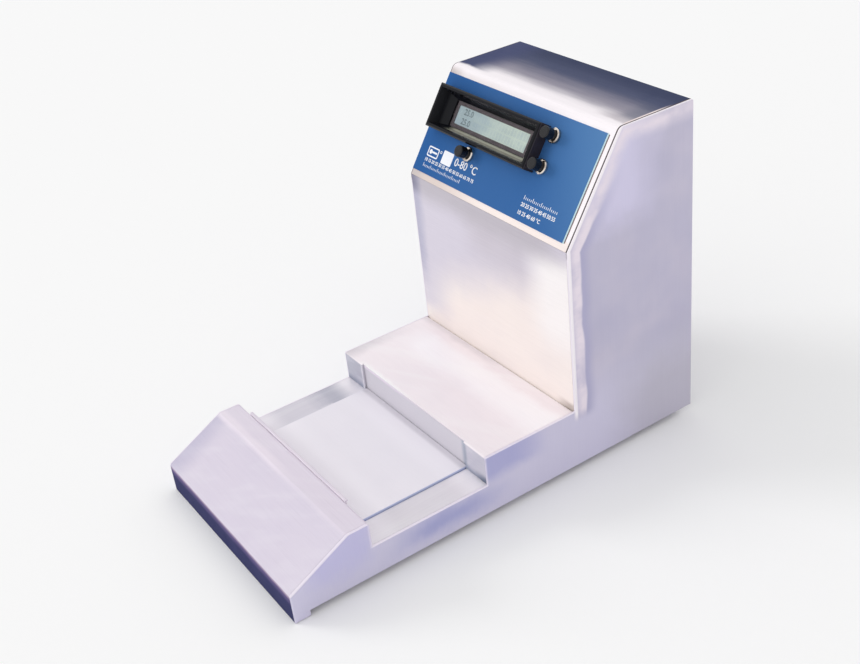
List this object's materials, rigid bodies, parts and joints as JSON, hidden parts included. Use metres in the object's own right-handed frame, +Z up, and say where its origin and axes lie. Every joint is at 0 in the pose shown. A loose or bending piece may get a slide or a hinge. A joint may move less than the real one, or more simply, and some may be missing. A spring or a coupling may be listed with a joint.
{
  "type": "bench thermal conditioner",
  "caption": "Bench unit of folded stainless sheet: a wedge nose, a heated plate in a shallow well, a deck, and a tall head with a sloped blue panel, an LCD in a deep bezel and push buttons.",
  "frame": {"origin": "centre of the footprint at bench level", "axes": "+X to the right of a user who faces the nose, +Y from the nose to the rear, +Z up"},
  "size_m": [0.203, 0.385, 0.2768],
  "materials": {
    "case_steel": "satin stainless sheet",
    "plate": "fine bead blasted",
    "heater": "silicone mat",
    "insulation": "fibre felt",
    "fasteners": "zinc plated",
    "probe": "bright",
    "standoffs": "plain",
    "nickel": "nickel plated",
    "overlay": "printed film",
    "bezel": "fine grained",
    "caps": "polished",
    "window": "clear",
    "lcd_frame": "blackened",
    "lcd": "polariser film",
    "circuit": "solder mask",
    "black_plastic": "moulded",
    "feet": "moulded",
    "pins": "tinned",
    "fuse": "glass tube with metal ends",
    "guard": "plated wire",
    "supply": "mill finish",
    "core": "varnished laminations",
    "capacitors": "sleeved",
    "ribbon": "flat cable",
    "cable": "silicone sleeve"
  },
  "bodies": {
    "case": {"left_side_panel": "case_steel", "right_side_panel": "case_steel", "nose_cover": "case_steel", "nose_lip": "case_steel", "well_pan": "case_steel", "deck_cover": "case_steel", "step_panel": "case_steel", "head_front_panel": "case_steel", "head_cover": "case_steel", "base_plate": "case_steel", "rear_panel": "case_steel", "thermal_plate": "plate", "heater_mat": "heater", "insulation_pad": "insulation", "foot_screws": "fasteners", "foot_nuts": "fasteners", "case_screws": "fasteners", "plate_studs": "fasteners", "plate_nuts": "fasteners", "display_screws": "fasteners", "inlet_screws": "fasteners", "fan_screws": "fasteners", "board_screws": "fasteners", "plate_sensor": "probe", "thermal_cutout": "probe", "display_standoffs": "standoffs", "board_standoffs": "standoffs", "button_nuts": "nickel", "button_washers": "nickel", "control_overlay": "overlay", "display_bezel": "bezel", "display_window": "window", "lcd_frame": "lcd_frame", "lcd_glass": "lcd", "lcd_board": "circuit", "control_board": "circuit", "supply_board": "circuit", "button_switch_upper": "black_plastic", "button_switch_lower": "black_plastic", "button_switch_left": "black_plastic", "power_inlet": "black_plastic", "rocker_housing": "black_plastic", "fan_frame": "black_plastic", "board_components": "black_plastic", "heater_relay": "black_plastic", "feet": "feet", "inlet_pins": "pins", "fan_guard": "guard", "supply_chassis": "supply", "power_transformer": "core", "supply_capacitors": "capacitors", "display_ribbon": "ribbon", "heater_cable": "cable"},
    "upper_button": {"button_cap_upper": "caps"},
    "lower_button": {"button_cap_lower": "caps"},
    "left_button": {"button_cap_left": "caps"},
    "rocker": {"rocker_paddle": "black_plastic"},
    "drawer": {"fuse_drawer": "black_plastic", "fuse": "fuse"},
    "rotor": {"fan_rotor": "black_plastic"}
  },
  "joints": [
    {"name": "upper_button_press", "type": "slide", "parent": "case", "child": "upper_button", "axis": [0, 0.8339, -0.5519], "range_m": [0, 0.0025], "stiffness_N_per_m": 600, "springref_m": -0.001},
    {"name": "lower_button_press", "type": "slide", "parent": "case", "child": "lower_button", "axis": [0, 0.8339, -0.5519], "range_m": [0, 0.0025], "stiffness_N_per_m": 600, "springref_m": -0.001},
    {"name": "left_button_press", "type": "slide", "parent": "case", "child": "left_button", "axis": [0, 0.8339, -0.5519], "range_m": [0, 0.0025], "stiffness_N_per_m": 600, "springref_m": -0.001},
    {"name": "rocker_tip", "type": "hinge", "parent": "case", "child": "rocker", "pos_m": [0.005, 0.181, 0.095], "axis": [-1, 0, 0], "range_deg": [0, 18]},
    {"name": "drawer_pull", "type": "slide", "parent": "case", "child": "drawer", "axis": [0, 1, 0], "range_m": [0, 0.018]},
    {"name": "rotor_spin", "type": "hinge", "parent": "case", "child": "rotor", "pos_m": [0.04, 0.1725, 0.215], "axis": [0, 1, 0], "continuous": true}
  ]
}
